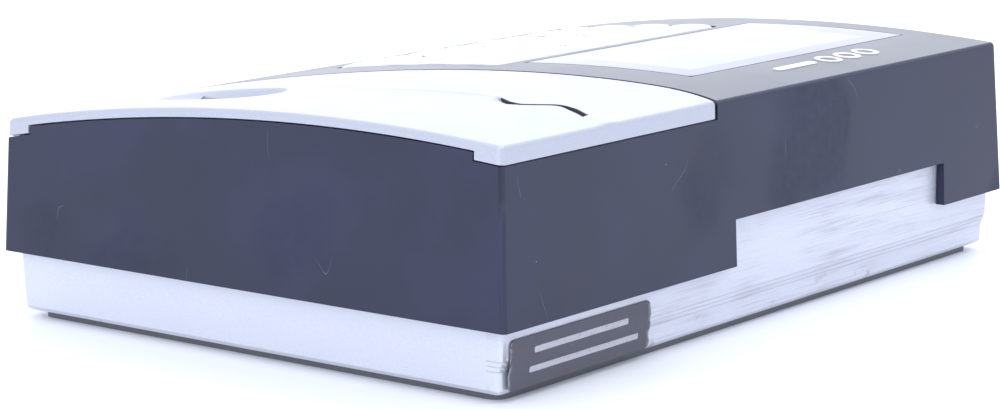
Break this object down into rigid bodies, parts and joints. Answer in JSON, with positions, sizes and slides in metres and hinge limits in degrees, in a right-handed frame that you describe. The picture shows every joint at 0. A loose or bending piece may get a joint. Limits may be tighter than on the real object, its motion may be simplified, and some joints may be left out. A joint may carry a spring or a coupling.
{
  "type": "fingerprint scanner terminal",
  "caption": "Wall-mounted fingerprint access terminal: a domed black front with a display and a keypad, a silver sensor cover with a finger groove, a silver rear case and a wall plate.",
  "frame": {"origin": "middle of the footprint, on the wall face of the wall plate", "axes": "+X to the terminal's right, +Y to its top, +Z out of its front"},
  "size_m": [0.195, 0.1336, 0.0515],
  "materials": {
    "plate_steel": "dark powder coat",
    "silver_case": "silver paint over plastic, worn in fine streaks",
    "black_housing": "satin black, fine scratches",
    "silver_cover": "smooth silver paint over plastic",
    "key_silver": "silver paint over plastic",
    "lens": "gloss acrylic",
    "panel_glass": "unlit display",
    "sheet_steel": "bright plated",
    "circuit_board": "solder mask",
    "silicone": "matt silicone",
    "chip_black": "moulded",
    "capacitor_sleeve": "sleeve",
    "relay_blue": "moulded",
    "terminal_green": "moulded",
    "speaker_black": "coated paper and plastic",
    "plunger_white": "moulded",
    "sensor_glass": "polished prism",
    "light_clear": "clear light guide",
    "ribbon_grey": "flat cable",
    "screw_steel": "zinc plated",
    "label_grey": "blank printed label",
    "mark_white": "white print"
  },
  "bodies": {
    "terminal": {"wall_plate": "plate_steel", "rear_case": "silver_case", "front_housing": "black_housing", "sensor_cover": "silver_cover", "display_lens": "lens", "display_panel": "panel_glass", "display_frame": "sheet_steel", "display_board": "circuit_board", "keypad_mat": "silicone", "keypad_board": "circuit_board", "main_board": "circuit_board", "board_chips": "chip_black", "board_capacitors": "capacitor_sleeve", "lock_relay": "relay_blue", "terminal_blocks": "terminal_green", "network_jack": "sheet_steel", "usb_socket": "sheet_steel", "power_inlet": "chip_black", "clock_battery": "sheet_steel", "battery_holder": "chip_black", "buzzer": "chip_black", "speaker": "speaker_black", "tamper_switch": "chip_black", "reset_switch": "chip_black", "sensor_glass": "sensor_glass", "sensor_frame": "chip_black", "sensor_lens": "chip_black", "sensor_board": "circuit_board", "sensor_lights": "light_clear", "status_lights": "light_clear", "keypad_ribbon": "ribbon_grey", "display_ribbon": "ribbon_grey", "sensor_ribbon": "ribbon_grey", "case_screws": "screw_steel", "board_screws": "screw_steel", "inner_screws": "screw_steel", "security_screw": "screw_steel", "side_label": "label_grey", "front_mark": "mark_white"},
    "key_1": {"key_1": "key_silver"},
    "key_2": {"key_2": "key_silver"},
    "key_3": {"key_3": "key_silver"},
    "key_4": {"key_4": "key_silver"},
    "key_5": {"key_5": "key_silver"},
    "key_6": {"key_6": "key_silver"},
    "key_7": {"key_7": "key_silver"},
    "key_8": {"key_8": "key_silver"},
    "key_9": {"key_9": "key_silver"},
    "key_10": {"key_10": "key_silver"},
    "key_11": {"key_11": "key_silver"},
    "key_12": {"key_12": "key_silver"},
    "key_13": {"key_13": "key_silver"},
    "key_14": {"key_14": "key_silver"},
    "key_15": {"key_15": "key_silver"},
    "key_16": {"key_16": "key_silver"},
    "tamper_plunger": {"tamper_plunger": "plunger_white"},
    "reset_button": {"reset_button": "plunger_white"}
  },
  "joints": [
    {"name": "key_1_press", "type": "slide", "parent": "terminal", "child": "key_1", "axis": [0, 0.0981, -0.9952], "range_m": [0, 0.001], "stiffness_N_per_m": 800},
    {"name": "key_2_press", "type": "slide", "parent": "terminal", "child": "key_2", "axis": [0, 0.0981, -0.9952], "range_m": [0, 0.001], "stiffness_N_per_m": 800},
    {"name": "key_3_press", "type": "slide", "parent": "terminal", "child": "key_3", "axis": [0, 0.0981, -0.9952], "range_m": [0, 0.001], "stiffness_N_per_m": 800},
    {"name": "key_4_press", "type": "slide", "parent": "terminal", "child": "key_4", "axis": [0, 0.0981, -0.9952], "range_m": [0, 0.001], "stiffness_N_per_m": 800},
    {"name": "key_5_press", "type": "slide", "parent": "terminal", "child": "key_5", "axis": [0, 0.0981, -0.9952], "range_m": [0, 0.001], "stiffness_N_per_m": 800},
    {"name": "key_6_press", "type": "slide", "parent": "terminal", "child": "key_6", "axis": [0, 0.0981, -0.9952], "range_m": [0, 0.001], "stiffness_N_per_m": 800},
    {"name": "key_7_press", "type": "slide", "parent": "terminal", "child": "key_7", "axis": [0, 0.0981, -0.9952], "range_m": [0, 0.001], "stiffness_N_per_m": 800},
    {"name": "key_8_press", "type": "slide", "parent": "terminal", "child": "key_8", "axis": [0, 0.0981, -0.9952], "range_m": [0, 0.001], "stiffness_N_per_m": 800},
    {"name": "key_9_press", "type": "slide", "parent": "terminal", "child": "key_9", "axis": [0, 0.0981, -0.9952], "range_m": [0, 0.001], "stiffness_N_per_m": 800},
    {"name": "key_10_press", "type": "slide", "parent": "terminal", "child": "key_10", "axis": [0, 0.0981, -0.9952], "range_m": [0, 0.001], "stiffness_N_per_m": 800},
    {"name": "key_11_press", "type": "slide", "parent": "terminal", "child": "key_11", "axis": [0, 0.0981, -0.9952], "range_m": [0, 0.001], "stiffness_N_per_m": 800},
    {"name": "key_12_press", "type": "slide", "parent": "terminal", "child": "key_12", "axis": [0, 0.0981, -0.9952], "range_m": [0, 0.001], "stiffness_N_per_m": 800},
    {"name": "key_13_press", "type": "slide", "parent": "terminal", "child": "key_13", "axis": [0, 0.0981, -0.9952], "range_m": [0, 0.001], "stiffness_N_per_m": 800},
    {"name": "key_14_press", "type": "slide", "parent": "terminal", "child": "key_14", "axis": [0, 0.0981, -0.9952], "range_m": [0, 0.001], "stiffness_N_per_m": 800},
    {"name": "key_15_press", "type": "slide", "parent": "terminal", "child": "key_15", "axis": [0, 0.0981, -0.9952], "range_m": [0, 0.001], "stiffness_N_per_m": 800},
    {"name": "key_16_press", "type": "slide", "parent": "terminal", "child": "key_16", "axis": [0, 0.0981, -0.9952], "range_m": [0, 0.001], "stiffness_N_per_m": 800},
    {"name": "tamper_press", "type": "slide", "parent": "terminal", "child": "tamper_plunger", "axis": [0, 0, 1], "range_m": [0, 0.0012], "stiffness_N_per_m": 400},
    {"name": "reset_press", "type": "slide", "parent": "terminal", "child": "reset_button", "axis": [0, 1, 0], "range_m": [0, 0.0005], "stiffness_N_per_m": 800}
  ]
}
